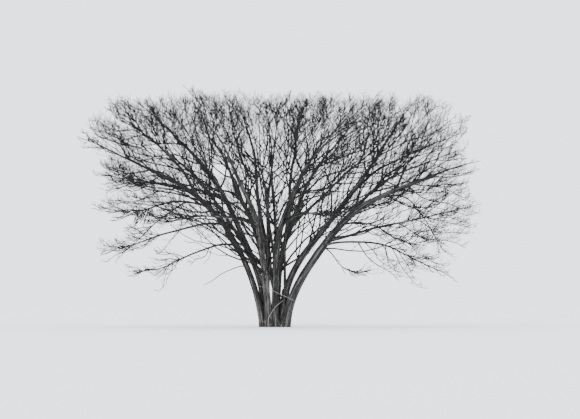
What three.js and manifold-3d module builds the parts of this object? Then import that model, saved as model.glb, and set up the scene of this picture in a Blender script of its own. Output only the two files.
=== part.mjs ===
// A bare, many-stemmed tree in winter: eight stems from one root crown, spreading into a wide, flat crown.
// Millimetres, +Z up. The origin is on the flat cut at ground level, in the middle of the clump.
// +X is to the right of the view that the crown was measured in, and +Y points away from it.

import * as THREE from "three";
import { mergeVertices } from "three/addons/utils/BufferGeometryUtils.js";
import Module from "manifold-3d";

const wasm = await Module();
wasm.setup();

// The rule's own seed, the places where a limb may fork or carry a twig, and which of them do here.
const SEED = 2713;
const FORK_PLACES = 14;
const FORK_EVERY = 3;
const TWIG_PLACES = 9;
const TWIG_EVERY = 5;
const FIRST_TWIG = 1;

// How a limb is drawn out from foot to tip. Lengths in millimetres, angles in degrees.
const PATH_STEPS = 16;
const SWAY = 4;
const SWAY_TURNS = 2.3;
const TAPER = 0.65;
const TWIGGY_TAPER = 0.5;
const TIP_RADIUS = 3;
const BOUGH_BARE_SHARE = 0.38;

// The root crown: how high its stubs stand, how far the feet flare, and the low boss between them.
const CUT_HEIGHT = 460;
const ROOT_DEPTH = 160;
const FLARE = 0.25;
const FLARE_HEIGHT = 130;
const BOSS = { x: 10, y: 20, wide: 250, deep: 175, high: 85, segments: 12, rings: 6 };
const BELOW_GROUND = { across: 2000, deep: 1000 };

// Forks: their angle from the limb, the roll round it from its upper side, their length as a share of the
// twiggy run, how much of that they lose towards the tip and gain where the limb rises, how far they bend
// along the limb and away from the middle of the crown, and how stout they are.
const FORK_ANGLE = 36;
const FORK_ROLL = 75;
const FORK_REACH = 0.8;
const FORK_SHORTENS = 0.66;
const FORK_RISE = 0.6;
const FORK_FOLLOW = 0.6;
const FORK_OUTWARD = 0.25;
const FORK_THINNER = 0.7;
const FORK_STOUTNESS = 0.007;

// Twigs, in the same terms, measured on the fork that carries them, with their bend to the sky, and the
// stretch of it that they stand on.
const TWIG_ANGLE = 50;
const TWIG_ROLL = 70;
const TWIG_REACH = 0.44;
const TWIG_SHORTENS = 0.5;
const TWIG_LIFT = 0.1;
const TWIG_FOLLOW = 0.5;
const TWIG_OUTWARD = 0.3;
const TWIG_THINNER = 0.8;
const TWIG_STOUTNESS = 0.006;
const TWIG_TIP_RADIUS = 3.5;
const TWIGS_FROM = 0.15;
const TWIGS_OVER = 0.8;

// How widely chance spreads each of those round its middle value, and which draw each takes.
const SPREAD = {
  angle: 0.4,
  forkPlace: 0.5,
  forkRoll: 150,
  forkLength: 0.5,
  twigPlace: 0.6,
  twigRoll: 80,
  twigLength: 0.6,
};
const SWAY_DRAWS = { up: 1, across: 2 };
const EDGE_DRAW = 8;
const FORK_DRAWS = { place: 10, roll: 11, angle: 12, length: 13 };
const TWIG_DRAWS = { place: 20, roll: 21, angle: 22, length: 23 };

// The crown's edge: nearly flat on top, rising to the back, dropping at its shoulders, and oval from above.
// Each shoot keeps its own distance inside it, or grows a little past it.
const EDGE = { top: 5300, rise: 0.12, drop: 850, squareness: 8, halfWide: 4620, halfDeep: 3200 };
const INSIDE_EDGE = 60;
const EDGE_SPREAD = 300;

// Clearances: between pieces that meet, and between twigs and whatever they pass.
const GAP = 0.3;
const CLEARANCE = 14;
const LOWEST_TWIG = 320;
const SHORTENINGS = [1, 0.9, 0.8, 0.7, 0.6, 0.5, 0.4];
const TESTED_SHARES = [0.3, 0.5, 0.7, 0.85, 1];

// Facets.
const STEM_SIDES = 9;
const STEM_RINGS = 9;
const CROWN_RINGS = 4;
const BOUGH_SIDES = 6;
const BOUGH_RINGS = 6;
const AXIS_SIDES = 4;
const TWIG_SIDES = 3;
const FORK_RINGS = 3;
const MERGE_DISTANCE = 1e-4;

// Bark colours: dark on the old wood, grey on one weathered stem, and darker still on the fine twigs.
const DARK_BARK = { color: 0x4a4743, roughness: 0.9, metalness: 0 };
const GREY_BARK = { color: 0x66625e, roughness: 0.92, metalness: 0 };
const TWIG_BARK = { color: 0x3f3b38, roughness: 0.85, metalness: 0 };

// Stems. foot is where each leaves the ground. heading is the way it leans (0 right, 90 away, 180 left, 270
// near) and turn is how far that swings round by the tip. lean is its angle from the upright at the foot, a
// quarter, half, three quarters and the tip, and bare is the share of it that carries no twigs.
const STEMS = [
  { name: "left_outer_stem", foot: [-262, -20], heading: 178,
    lean: [12, 20, 53, 64, 72], length: 6300, radius: 72, bare: 0.58 },
  { name: "left_inner_stem", foot: [-180, 85], heading: 164,
    lean: [8, 19, 33, 44, 58], length: 6300, radius: 78, bare: 0.58 },
  { name: "back_left_stem", foot: [-85, 165], heading: 132, turn: -14,
    lean: [6, 18, 38, 46, 54], length: 6200, radius: 68, bare: 0.46 },
  { name: "back_right_stem", foot: [30, 160], heading: 38, turn: 16,
    lean: [2, 12, 35, 47, 58], length: 6000, radius: 70, bare: 0.46 },
  { name: "right_inner_stem", foot: [150, 55], heading: 12,
    lean: [3, 31, 45, 26, 48], length: 6200, radius: 84, bare: 0.62 },
  { name: "right_outer_stem", foot: [222, -40], heading: -8, turn: 6,
    lean: [11, 31, 54, 70, 78], length: 6000, radius: 100, bare: 0.6 },
  { name: "front_stem", foot: [-5, -45], heading: 276, turn: 44,
    lean: [1, 12, 40, 58, 66], length: 5700, radius: 84, bare: 0.46 },
  { name: "front_left_stem", foot: [-140, -110], heading: 238, turn: 8,
    lean: [3, 12, 38, 54, 66], length: 5500, radius: 80, bare: 0.5, bark: GREY_BARK },
];

// Boughs. on is the limb that carries it and at is how far along that limb. The lowest shoot has no twigs.
const BOUGHS = [
  { name: "left_lowest_shoot", on: "left_outer_stem", at: 0.22, heading: 184,
    lean: [88, 108, 120, 126, 116], length: 1050, radius: 12, bare: 1 },
  { name: "left_low_bough", on: "left_outer_stem", at: 0.3, heading: 190,
    lean: [80, 106, 118, 110, 90], length: 2300, radius: 24 },
  { name: "left_middle_bough", on: "left_outer_stem", at: 0.39, heading: 176,
    lean: [90, 100, 110, 106, 80], length: 2750, radius: 27 },
  { name: "left_side_bough", on: "left_outer_stem", at: 0.47, heading: 190,
    lean: [70, 92, 110, 92, 60], length: 2500, radius: 26 },
  { name: "left_arching_bough", on: "left_side_bough", at: 0.2, heading: 214, turn: -20,
    lean: [112, 126, 130, 136, 126], length: 1900, radius: 16 },
  { name: "left_fork_bough", on: "left_outer_stem", at: 0.53, heading: 176,
    lean: [26, 36, 50, 56, 62], length: 2700, radius: 36 },
  { name: "left_level_bough", on: "left_inner_stem", at: 0.46, heading: 188,
    lean: [52, 80, 84, 76, 70], length: 2800, radius: 30 },
  { name: "left_upper_bough", on: "left_inner_stem", at: 0.15, heading: 176,
    lean: [22, 29, 44, 50, 62], length: 5200, radius: 46 },
  { name: "right_low_bough", on: "right_outer_stem", at: 0.355, heading: -10,
    lean: [84, 70, 84, 72, 84], length: 3450, radius: 30 },
  { name: "right_drooping_bough", on: "right_outer_stem", at: 0.335, heading: -32,
    lean: [76, 92, 108, 118, 112], length: 3200, radius: 26 },
  { name: "right_hanging_bough", on: "right_outer_stem", at: 0.33, heading: 24,
    lean: [120, 142, 130, 98, 76], length: 1250, radius: 14 },
  { name: "right_arching_bough", on: "right_outer_stem", at: 0.41, heading: -26,
    lean: [58, 94, 128, 102, 62], length: 2400, radius: 20 },
  { name: "right_weeping_bough", on: "right_outer_stem", at: 0.56, heading: 26,
    lean: [58, 84, 128, 152, 136], length: 2500, radius: 18 },
  { name: "right_long_bough", on: "right_outer_stem", at: 0.14, heading: 4,
    lean: [28, 38, 46, 66, 72], length: 5000, radius: 54 },
  { name: "right_upper_bough", on: "right_inner_stem", at: 0.57, heading: 30, turn: -10,
    lean: [50, 56, 66, 68, 60], length: 2800, radius: 30 },
  { name: "front_right_bough", on: "right_inner_stem", at: 0.11, heading: 262, turn: 80,
    lean: [4, 16, 36, 50, 56], length: 4900, radius: 32 },
  { name: "front_low_bough", on: "front_stem", at: 0.4, heading: 306,
    lean: [66, 84, 96, 98, 80], length: 2700, radius: 26 },
  { name: "front_left_low_bough", on: "front_left_stem", at: 0.4, heading: 208,
    lean: [64, 82, 94, 96, 80], length: 2700, radius: 24 },
  { name: "back_bough", on: "back_right_stem", at: 0.36, heading: 82,
    lean: [14, 30, 44, 54, 60], length: 4300, radius: 40 },
  { name: "back_left_low_bough", on: "back_left_stem", at: 0.4, heading: 160,
    lean: [70, 86, 96, 96, 78], length: 2700, radius: 24 },
  { name: "back_right_bough", on: "back_right_stem", at: 0.36, heading: 14,
    lean: [40, 46, 50, 46, 44], length: 3700, radius: 34 },
  { name: "centre_top_bough", on: "back_right_stem", at: 0.11, heading: 196,
    lean: [20, 11, 5, 12, 26], length: 4600, radius: 58 },
];

const UP = new THREE.Vector3(0, 0, 1);
const RIGHT = new THREE.Vector3(1, 0, 0);
const STEEP = 0.95;
const radians = THREE.MathUtils.degToRad;

// A number from 0 to 1 that depends only on its whole-number keys.
function chance(...keys) {
  let hash = SEED;
  for (const key of keys) {
    hash = Math.imul(hash ^ (key + 0x9e3779b9), 0x85ebca6b);
    hash ^= hash >>> 13;
    hash = Math.imul(hash, 0xc2b2ae35);
    hash ^= hash >>> 16;
  }
  return (hash >>> 0) / 2 ** 32;
}

// A value spread evenly by chance round its middle.
function around(middle, spread, ...keys) {
  return middle + spread * (chance(...keys) - 0.5);
}

// The unit direction that leans so far from the upright towards a heading.
function direction(heading, lean) {
  const out = Math.sin(radians(lean));
  const [x, y] = [out * Math.cos(radians(heading)), out * Math.sin(radians(heading))];
  return new THREE.Vector3(x, y, Math.cos(radians(lean)));
}

// The lean at a share of the limb, straight between the five stated values.
function leanAt(limb, share) {
  const place = share * (limb.lean.length - 1);
  const low = Math.floor(place);
  return THREE.MathUtils.lerp(limb.lean[low], limb.lean[low + 1], place - low);
}

// Draws a limb's centre line out from its start, swaying a little as wood does.
function drawPath(limb, start) {
  const phase = chance(limb.index, SWAY_DRAWS.up);
  const phaseAcross = chance(limb.index, SWAY_DRAWS.across);
  const points = [start.clone()];
  for (let i = 0; i < PATH_STEPS; i++) {
    const share = (i + 0.5) / PATH_STEPS;
    const sway = SWAY * Math.sin(2 * Math.PI * (SWAY_TURNS * share + phase));
    const swayAcross = SWAY * Math.sin(2 * Math.PI * (SWAY_TURNS * share + phaseAcross));
    const heading = limb.heading + limb.turn * share + 2 * swayAcross;
    const step = direction(heading, leanAt(limb, share) + sway);
    points.push(points[i].clone().addScaledVector(step, limb.length / PATH_STEPS));
  }
  return points;
}

// The point at a share of the limb. A share below 0 carries its first step on backwards.
function pointAt(limb, share) {
  const place = share * PATH_STEPS;
  const low = THREE.MathUtils.clamp(Math.floor(place), 0, PATH_STEPS - 1);
  return limb.path[low].clone().lerp(limb.path[low + 1], place - low);
}

function tangentAt(limb, share) {
  const after = Math.min(share + 0.5 / PATH_STEPS, 1);
  return pointAt(limb, after).sub(pointAt(limb, after - 1 / PATH_STEPS)).normalize();
}

// A limb tapers all the way, and faster along its twiggy run.
function radiusAt(limb, share) {
  const left = THREE.MathUtils.clamp(1 - share, 0, 1);
  const twiggy = Math.min(left / Math.max(1 - limb.bare, 1 / PATH_STEPS), 1);
  return TIP_RADIUS + (limb.radius - TIP_RADIUS) * left ** TAPER * twiggy ** TWIGGY_TAPER;
}

// The same, with the swelling of a stem's foot.
function footRadiusAt(limb, share) {
  const height = Math.max(share, 0) * limb.length;
  return radiusAt(limb, share) * (1 + FLARE * Math.exp(-height / FLARE_HEIGHT));
}

// A geometry with only its positions kept, so that shared corners merge.
function bare(geometry) {
  geometry.deleteAttribute("normal");
  geometry.deleteAttribute("uv");
  return mergeVertices(geometry, MERGE_DISTANCE);
}

function solidOf(geometry) {
  const vertProperties = geometry.attributes.position.array;
  const triVerts = new Uint32Array(geometry.index.array);
  return new wasm.Manifold(new wasm.Mesh({ numProp: 3, vertProperties, triVerts }));
}

// A round bar laid along a centre line: each ring of a unit cylinder moves to its own station.
function bar({ point, tangent, radius, across, sides, rings, pointed }) {
  const geometry = bare(new THREE.CylinderGeometry(pointed ? 0 : 1, 1, 1, sides, rings));
  const position = geometry.attributes.position;
  for (let i = 0; i < position.count; i++) {
    const share = position.getY(i) + 0.5;
    const forward = tangent(share);
    const side = across.clone().addScaledVector(forward, -across.dot(forward)).normalize();
    const other = side.clone().cross(forward);
    // A pointed cylinder has narrowed by this share already.
    const reach = radius(share) / (pointed && share < 1 ? 1 - share : 1);
    const place = point(share).addScaledVector(side, position.getX(i) * reach);
    place.addScaledVector(other, position.getZ(i) * reach);
    position.setXYZ(i, place.x, place.y, place.z);
  }
  return solidOf(geometry);
}

// A run of a limb between two shares of its length, grown outwards by so much.
function limbBar(limb, from, to, sides, rings, radius = radiusAt, grow = 0) {
  const shareOf = (t) => from + t * (to - from);
  return bar({
    point: (t) => pointAt(limb, shareOf(t)),
    tangent: (t) => tangentAt(limb, shareOf(t)),
    radius: (t) => radius(limb, shareOf(t)) + grow,
    across: direction(limb.heading + 90, 90),
    sides,
    rings,
  });
}

// A fork or twig sets off one way and has turned to another by its tip, in a few straight runs.
function arcStation(arc, share) {
  const turned = arc.turnsTo.clone().sub(arc.setsOff).multiplyScalar((share * share) / 2);
  return arc.from.clone().addScaledVector(turned.addScaledVector(arc.setsOff, share), arc.length);
}

function arcPoint(arc, share) {
  const place = share * arc.rings;
  const low = Math.min(Math.floor(place), arc.rings - 1);
  return arcStation(arc, low / arc.rings).lerp(arcStation(arc, (low + 1) / arc.rings), place - low);
}

function arcTangent(arc, share) {
  return arc.setsOff.clone().lerp(arc.turnsTo, share).normalize();
}

function arcRadius(arc, share) {
  return THREE.MathUtils.lerp(arc.radius, TWIG_TIP_RADIUS, share);
}

// The upright, or the level where a shoot is too steep to be measured against the upright.
function skyward(forward) {
  return Math.abs(forward.z) > STEEP ? RIGHT : UP;
}

function arcBar(arc) {
  return bar({
    point: (t) => arcPoint(arc, t),
    tangent: (t) => arcTangent(arc, t),
    radius: (t) => arcRadius(arc, t),
    across: arc.setsOff.clone().cross(skyward(arc.setsOff)).normalize(),
    sides: TWIG_SIDES,
    rings: arc.rings,
    pointed: true,
  });
}

// A side shoot: it leaves at an angle, rolled round its carrier from the upper side, and bends as it grows.
function sideShoot({ from, forward, roll, angle, lift, follow, outward, length, radius, rings, edge }) {
  const above = skyward(forward);
  const upper = above.clone().addScaledVector(forward, -above.dot(forward)).normalize();
  const aside = forward.clone().cross(upper);
  const away = upper.multiplyScalar(Math.cos(radians(roll))).addScaledVector(aside, Math.sin(radians(roll)));
  const setsOff = forward.clone().multiplyScalar(Math.cos(radians(angle)));
  setsOff.addScaledVector(away, Math.sin(radians(angle)));
  const turnsTo = setsOff.clone().addScaledVector(UP, lift).addScaledVector(forward, follow);
  turnsTo.addScaledVector(new THREE.Vector3(from.x, from.y, 0).normalize(), outward).normalize();
  return { from, setsOff, turnsTo, length, radius, rings, edge };
}

// The fork at one place along the run of a limb that carries twigs. Forks take turns left and right of it.
function forkAt(limb, place) {
  const draw = (middle, spread, kind) => around(middle, spread, limb.index, kind, place);
  const along = draw(place + 0.5, SPREAD.forkPlace, FORK_DRAWS.place) / FORK_PLACES;
  const share = limb.bare + (1 - limb.bare) * along;
  const forward = tangentAt(limb, share);
  const longest = limb.length * (1 - limb.bare) * FORK_REACH * (1 - FORK_SHORTENS * along);
  const length = longest * (1 + FORK_RISE * forward.z) * draw(1, SPREAD.forkLength, FORK_DRAWS.length);
  return sideShoot({
    from: pointAt(limb, share),
    forward,
    roll: draw(FORK_ROLL, SPREAD.forkRoll, FORK_DRAWS.roll) * (place % 2 ? 1 : -1),
    angle: FORK_ANGLE * draw(1, SPREAD.angle, FORK_DRAWS.angle),
    lift: 0,
    follow: FORK_FOLLOW,
    outward: FORK_OUTWARD,
    length,
    radius: Math.min(FORK_THINNER * radiusAt(limb, share), TWIG_TIP_RADIUS + FORK_STOUTNESS * length),
    rings: FORK_RINGS,
    edge: draw(INSIDE_EDGE, EDGE_SPREAD, EDGE_DRAW),
  });
}

// The twig at one place along a fork.
function twigAt(fork, limb, place, twigPlace) {
  const draw = (middle, spread, kind) => around(middle, spread, limb.index, kind, place, twigPlace);
  const station = draw(twigPlace + 0.5, SPREAD.twigPlace, TWIG_DRAWS.place) / TWIG_PLACES;
  const along = TWIGS_FROM + TWIGS_OVER * station;
  const longest = fork.length * TWIG_REACH * (1 - TWIG_SHORTENS * along);
  const length = longest * draw(1, SPREAD.twigLength, TWIG_DRAWS.length);
  return sideShoot({
    from: arcPoint(fork, along),
    forward: arcTangent(fork, along),
    roll: draw(TWIG_ROLL, SPREAD.twigRoll, TWIG_DRAWS.roll) * (twigPlace % 2 ? 1 : -1),
    angle: TWIG_ANGLE * draw(1, SPREAD.angle, TWIG_DRAWS.angle),
    lift: TWIG_LIFT,
    follow: TWIG_FOLLOW,
    outward: TWIG_OUTWARD,
    length,
    radius: Math.min(TWIG_THINNER * arcRadius(fork, along), TWIG_TIP_RADIUS + TWIG_STOUTNESS * length),
    rings: 1,
    edge: draw(INSIDE_EDGE, EDGE_SPREAD, EDGE_DRAW),
  });
}

// How near a point is to a limb's path between two of its stations, or to the bark round it.
function distanceTo(limb, point, first, last, toBark) {
  let nearest = Infinity;
  const step = new THREE.Line3();
  const foot = new THREE.Vector3();
  for (let i = first; i < last; i++) {
    step.set(limb.path[i], limb.path[i + 1]).closestPointToPoint(point, true, foot);
    const bark = toBark ? radiusAt(limb, i / PATH_STEPS) : 0;
    nearest = Math.min(nearest, foot.distanceTo(point) - bark);
  }
  return nearest;
}

// How far a point is inside the crown's edge.
function depthInCrown({ x, y, z }) {
  const wide = Math.abs(x) / EDGE.halfWide;
  const top = EDGE.top + EDGE.rise * y - EDGE.drop * wide ** EDGE.squareness;
  return Math.min(top - z, (1 - Math.hypot(wide, y / EDGE.halfDeep)) * EDGE.halfDeep);
}

// A shoot stays inside the crown's edge, clear of every bare limb, and nearer to its own limb's twiggy run
// than to any other's.
function keepsItsSpace(arc, limb) {
  for (const share of TESTED_SHARES) {
    const point = arcPoint(arc, share);
    const room = arcRadius(arc, share) + CLEARANCE;
    if (point.z < LOWEST_TWIG || depthInCrown(point) < arc.edge) return false;
    const own = distanceTo(limb, point, limb.bareSteps, PATH_STEPS, false);
    for (const other of limbs) {
      if (distanceTo(other, point, 0, other.bareSteps, true) < room) return false;
      if (other === limb) continue;
      if (distanceTo(other, point, other.bareSteps, PATH_STEPS, false) < own + room) return false;
    }
  }
  return true;
}

// The longest of a few lengths that keeps its space, or nothing.
function fitted(arc, limb) {
  for (const share of SHORTENINGS) {
    const shorter = { ...arc, length: arc.length * share };
    if (keepsItsSpace(shorter, limb)) return shorter;
  }
  return null;
}

const cutShare = (stem) => CUT_HEIGHT / stem.length;

// The root crown: the flared feet of all the stems, joined low down by one boss and cut flat at the ground.
function rootCrown() {
  const boss = bare(new THREE.SphereGeometry(1, BOSS.segments, BOSS.rings));
  boss.scale(BOSS.wide, BOSS.deep, BOSS.high).translate(BOSS.x, BOSS.y, 0);
  let crown = solidOf(boss);
  for (const stem of limbs.filter((limb) => !limb.carrier)) {
    const root = -ROOT_DEPTH / stem.length;
    crown = crown.add(limbBar(stem, root, cutShare(stem), STEM_SIDES, CROWN_RINGS, footRadiusAt));
  }
  const below = bare(new THREE.BoxGeometry(BELOW_GROUND.across, BELOW_GROUND.across, BELOW_GROUND.deep));
  below.translate(0, 0, -BELOW_GROUND.deep / 2);
  return crown.subtract(solidOf(below));
}

// A stem's bare run, from its stub on the root crown up to its twigs, grown outwards by so much.
function stemBar(stem, grow = 0) {
  const foot = cutShare(stem) + GAP / stem.length;
  return limbBar(stem, foot, stem.bare, STEM_SIDES, STEM_RINGS, footRadiusAt, grow);
}

function boughBar(bough, grow = 0) {
  return limbBar(bough, 0, bough.bare, BOUGH_SIDES, BOUGH_RINGS, radiusAt, grow);
}

// A bough starts inside its carrier, and is cut back to sit a hair clear of the bark.
function boughSolid(bough) {
  const carrier = bough.carrier;
  return boughBar(bough).subtract(carrier.carrier ? boughBar(carrier, GAP) : stemBar(carrier, GAP));
}

// The twigs that carry a limb on: its own last run, with forks on that and twigs on those.
function twigSolid(limb) {
  let mass = limbBar(limb, limb.bare + GAP / limb.length, 1, AXIS_SIDES, PATH_STEPS - limb.bareSteps);
  for (let place = 0; place < FORK_PLACES; place += FORK_EVERY) {
    const fork = fitted(forkAt(limb, place), limb);
    if (!fork) continue;
    mass = mass.add(arcBar(fork));
    for (let twigPlace = FIRST_TWIG; twigPlace < TWIG_PLACES; twigPlace += TWIG_EVERY) {
      const twig = fitted(twigAt(fork, limb, place, twigPlace), limb);
      if (twig) mass = mass.add(arcBar(twig));
    }
  }
  return mass;
}

// A named mesh in a group that stands at the limb's foot.
function addPiece(group, foot, name, solid, bark) {
  const made = solid.getMesh();
  const geometry = new THREE.BufferGeometry();
  geometry.setAttribute("position", new THREE.BufferAttribute(made.vertProperties, 3));
  geometry.setIndex(new THREE.BufferAttribute(made.triVerts, 1));
  geometry.translate(-foot.x, -foot.y, -foot.z);
  geometry.computeVertexNormals();
  const mesh = new THREE.Mesh(geometry, new THREE.MeshStandardMaterial(bark));
  mesh.name = name;
  group.add(mesh);
}

// Every limb: its order for the seeded draws, its centre line and where its twigs begin.
const limbs = [];
for (const row of [...STEMS, ...BOUGHS]) {
  const carrier = limbs.find((limb) => limb.name === row.on);
  const limb = { turn: 0, bare: BOUGH_BARE_SHARE, bark: DARK_BARK, ...row, index: limbs.length, carrier };
  limb.path = drawPath(limb, carrier ? pointAt(carrier, row.at) : new THREE.Vector3(...row.foot, 0));
  limb.bareSteps = Math.round(limb.bare * PATH_STEPS);
  limb.bare = limb.bareSteps / PATH_STEPS;
  limbs.push(limb);
}

// The tree: each limb's group stands at the limb's foot, within the group of what carries it.
const tree = new THREE.Group();
addPiece(tree, new THREE.Vector3(), "root_crown", rootCrown(), DARK_BARK);
for (const limb of limbs) {
  const foot = limb.path[0];
  limb.group = new THREE.Group();
  limb.group.position.copy(foot);
  if (limb.carrier) limb.group.position.sub(limb.carrier.path[0]);
  (limb.carrier ? limb.carrier.group : tree).add(limb.group);
  addPiece(limb.group, foot, limb.name, limb.carrier ? boughSolid(limb) : stemBar(limb), limb.bark);
  if (limb.bare < 1) addPiece(limb.group, foot, `${limb.name}_twigs`, twigSolid(limb), TWIG_BARK);
}

export default tree;
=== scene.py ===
import math

import bpy
import numpy as np
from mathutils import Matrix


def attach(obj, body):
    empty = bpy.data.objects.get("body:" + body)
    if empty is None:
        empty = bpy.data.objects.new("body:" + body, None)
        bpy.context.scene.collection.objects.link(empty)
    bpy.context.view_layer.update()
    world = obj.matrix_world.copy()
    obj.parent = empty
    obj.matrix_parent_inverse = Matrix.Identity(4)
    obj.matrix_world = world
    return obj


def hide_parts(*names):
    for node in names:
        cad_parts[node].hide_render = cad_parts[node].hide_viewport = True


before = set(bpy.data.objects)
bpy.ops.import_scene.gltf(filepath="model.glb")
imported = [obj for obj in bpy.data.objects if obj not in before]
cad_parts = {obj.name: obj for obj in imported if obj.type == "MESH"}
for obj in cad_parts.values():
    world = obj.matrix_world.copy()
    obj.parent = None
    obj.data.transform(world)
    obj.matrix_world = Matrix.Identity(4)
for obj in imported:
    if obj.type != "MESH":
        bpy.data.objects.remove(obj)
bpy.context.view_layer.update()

# The view: the tree stands alone on level ground, seen from 30 m away and from little above the ground, so
# that the far edge of the floor shows behind its foot. Places in the picture are in pixels of 580 by 419.
PICTURE = (580, 419)
FOOT_PIXEL = (275, 327)
METRES_PER_PIXEL = 0.022
DISTANCE = 30
EYE_HEIGHT = 0.45
SENSOR = 36
FURTHEST_SEEN = 1000

focal_pixels = DISTANCE / METRES_PER_PIXEL
tilt = math.atan((FOOT_PIXEL[1] - PICTURE[1] / 2) / focal_pixels) - math.atan(EYE_HEIGHT / DISTANCE)
swing = math.atan((PICTURE[0] / 2 - FOOT_PIXEL[0]) / focal_pixels)
bpy.ops.object.camera_add(location=(0, -DISTANCE, EYE_HEIGHT), rotation=(math.pi / 2 + tilt, 0, -swing))
camera = bpy.context.object
camera.name = "view_of_the_tree"
camera.data.sensor_width = SENSOR
camera.data.lens = focal_pixels * SENSOR / PICTURE[0]
camera.data.clip_end = FURTHEST_SEEN
bpy.context.scene.camera = camera

# The floor: plain and pale, wide enough that its far edge passes for a horizon. It is a sheet of matt white
# with a faint unevenness, and isn't part of the tree.
FLOOR_ACROSS = 420
FLOOR_DROP = 0.002
FLOOR_SHADES = ((0.93, 0.935, 0.945), (0.95, 0.953, 0.96))


class Wire:
    """One output in a material's tree. Sums on it add Math nodes."""

    def __init__(self, finish, socket):
        self.finish = finish
        self.socket = socket

    def sum(self, operation, first, second):
        return self.finish.node("ShaderNodeMath", {"operation": operation}, {0: first, 1: second})

    def __add__(self, other):
        return self.sum("ADD", self, other)

    def __radd__(self, other):
        return self.sum("ADD", other, self)

    def __sub__(self, other):
        return self.sum("SUBTRACT", self, other)

    def __rsub__(self, other):
        return self.sum("SUBTRACT", other, self)

    def __mul__(self, other):
        return self.sum("MULTIPLY", self, other)

    def __rmul__(self, other):
        return self.sum("MULTIPLY", other, self)


class Finish:
    """A material's tree, built one node at a time."""

    def __init__(self, name):
        self.material = bpy.data.materials.new(name)
        self.material.use_nodes = True
        self.tree = self.material.node_tree
        self.tree.nodes.clear()

    def node(self, kind, settings, values, output=0):
        made = self.tree.nodes.new(kind)
        for setting, value in settings.items():
            if setting == "stops":
                for stop, (place, shade) in zip(made.color_ramp.elements, value):
                    stop.position = place
                    stop.color = (*shade, 1)
            else:
                setattr(made, setting, value)
        for name, value in values.items():
            if isinstance(value, Wire):
                self.tree.links.new(value.socket, made.inputs[name])
            else:
                made.inputs[name].default_value = value
        return Wire(self, made.outputs[output]) if made.outputs else made

    def place(self):
        return self.node("ShaderNodeTexCoord", {}, {}, output="Object")

    def noise(self, place, scale, detail=4.0, roughness=0.5):
        values = {"Vector": place, "Scale": scale, "Detail": detail, "Roughness": roughness}
        return self.node("ShaderNodeTexNoise", {}, values)

    def coloured(self, height, between, shades):
        """Goes from the first shade to the second as the height goes between two values."""
        return self.node("ShaderNodeValToRGB", {"stops": list(zip(between, shades))}, {"Fac": height})

    def surface(self, **values):
        sockets = {name.replace("_", " "): value for name, value in values.items()}
        shader = self.node("ShaderNodeBsdfPrincipled", {}, sockets)
        self.node("ShaderNodeOutputMaterial", {}, {"Surface": shader})
        return self.material


def paint_floor():
    finish = Finish("plain_pale_floor")
    unevenness = finish.noise(finish.place(), scale=0.6)
    colour = finish.coloured(unevenness, between=(0.3, 0.7), shades=FLOOR_SHADES)
    return finish.surface(Base_Color=colour, Roughness=0.9)


bpy.ops.mesh.primitive_plane_add(size=FLOOR_ACROSS, location=(0, 0, -FLOOR_DROP))
floor = bpy.context.object
floor.name = "floor"
floor.data.materials.append(paint_floor())

# The light: an even, pale overcast all round, with a broad soft lamp to the left and in front of the tree
# that lays a faint shadow to the right and behind it.
SKY = (0.72, 0.745, 0.78)
SKY_STRENGTH = 3.4
LAMP_PLACE = (-8, -8, 12)
LAMP_HEIGHT = 38
LAMP_SIDE = -38
LAMP_STRENGTH = 0.9
LAMP_SOFTNESS = 9

world = bpy.data.worlds.new("overcast")
world.use_nodes = True
world.node_tree.nodes["Background"].inputs["Color"].default_value = (*SKY, 1)
world.node_tree.nodes["Background"].inputs["Strength"].default_value = SKY_STRENGTH
bpy.context.scene.world = world
lamp_turn = (math.radians(90 - LAMP_HEIGHT), 0, math.radians(LAMP_SIDE))
bpy.ops.object.light_add(type="SUN", location=LAMP_PLACE, rotation=lamp_turn)
lamp = bpy.context.object
lamp.name = "soft_lamp"
lamp.data.energy = LAMP_STRENGTH
lamp.data.angle = math.radians(LAMP_SOFTNESS)

# The stems: eight slender stems of living wood, close together at the ground, each leaning out from the
# clump and arching further with height. Their bark is dark grey and fluted lengthwise, with painted shade
# darkening its furrows and painted highlights as paler streaks along the flutes. One stem wears a paler
# copy of the bark, painted as if it stood in brighter light than the others. Each grows from its foot by
# the same rule as the solids, in metres and degrees.
SEED = 2713
LOW_BITS = np.uint64(0xFFFFFFFF)
MIX_STEP = np.uint64(0x9E3779B9)
MIXERS = [(np.uint64(0x85EBCA6B), np.uint64(13)), (np.uint64(0xC2B2AE35), np.uint64(16))]
STEPS = 16
SWAY = 4
SWAY_TURNS = 2.3
SWAY_ACROSS = 2
SWAY_DRAW, SWAY_ACROSS_DRAW = 1, 2
TAPER = 0.65
TWIGGY_TAPER = 0.5
TIP_RADIUS = 0.006
TANGENT_SPAN = 0.25
ROOT_DEPTH = 0.16
FLARE = 0.25
FLARE_HEIGHT = 0.13
STEM_SIDES = 56
STEM_RING = 0.024

# A log takes its relief while it is straight and squeezed lengthwise, so that furrows run along it, and at a
# place of its own, so that no two logs are alike. Each kind of relief has its grain and depth in log radii.
LOG_SQUEEZE = 7
LOG_SPACING = 3.0
LOG_RELIEF = [("CLOUDS", 0.8, 0.22), ("CLOUDS", 0.22, 0.09), ("STUCCI", 0.1, 0.03)]

# In each set of bark shades, the crevice shade is painted shade in the furrows, and the streak shade is a
# painted highlight along the flutes.
DARK_SHADES = dict(
    shaded_crevice=(0.008, 0.0078, 0.0075), ridge=(0.046, 0.0445, 0.0425), highlight_streak=(0.17, 0.165, 0.158))
# A paler copy of the same bark shades for one stem: painted light, the same bark shown as if more brightly
# lit.
BRIGHTLY_LIT_SHADES = dict(
    shaded_crevice=(0.014, 0.0137, 0.0133), ridge=(0.07, 0.068, 0.0655), highlight_streak=(0.21, 0.204, 0.196))
BLOTCH_SHADES = ((0.62, 0.6, 0.6), (1.15, 1.15, 1.14))
BLACK_TO_WHITE = ((0, 0, 0), (1, 1, 1))
BARK_SHINE = 0.1
# The stem whose bark is painted as more brightly lit than the others.
BRIGHTLY_LIT_STEM = "front_left_stem"

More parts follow.
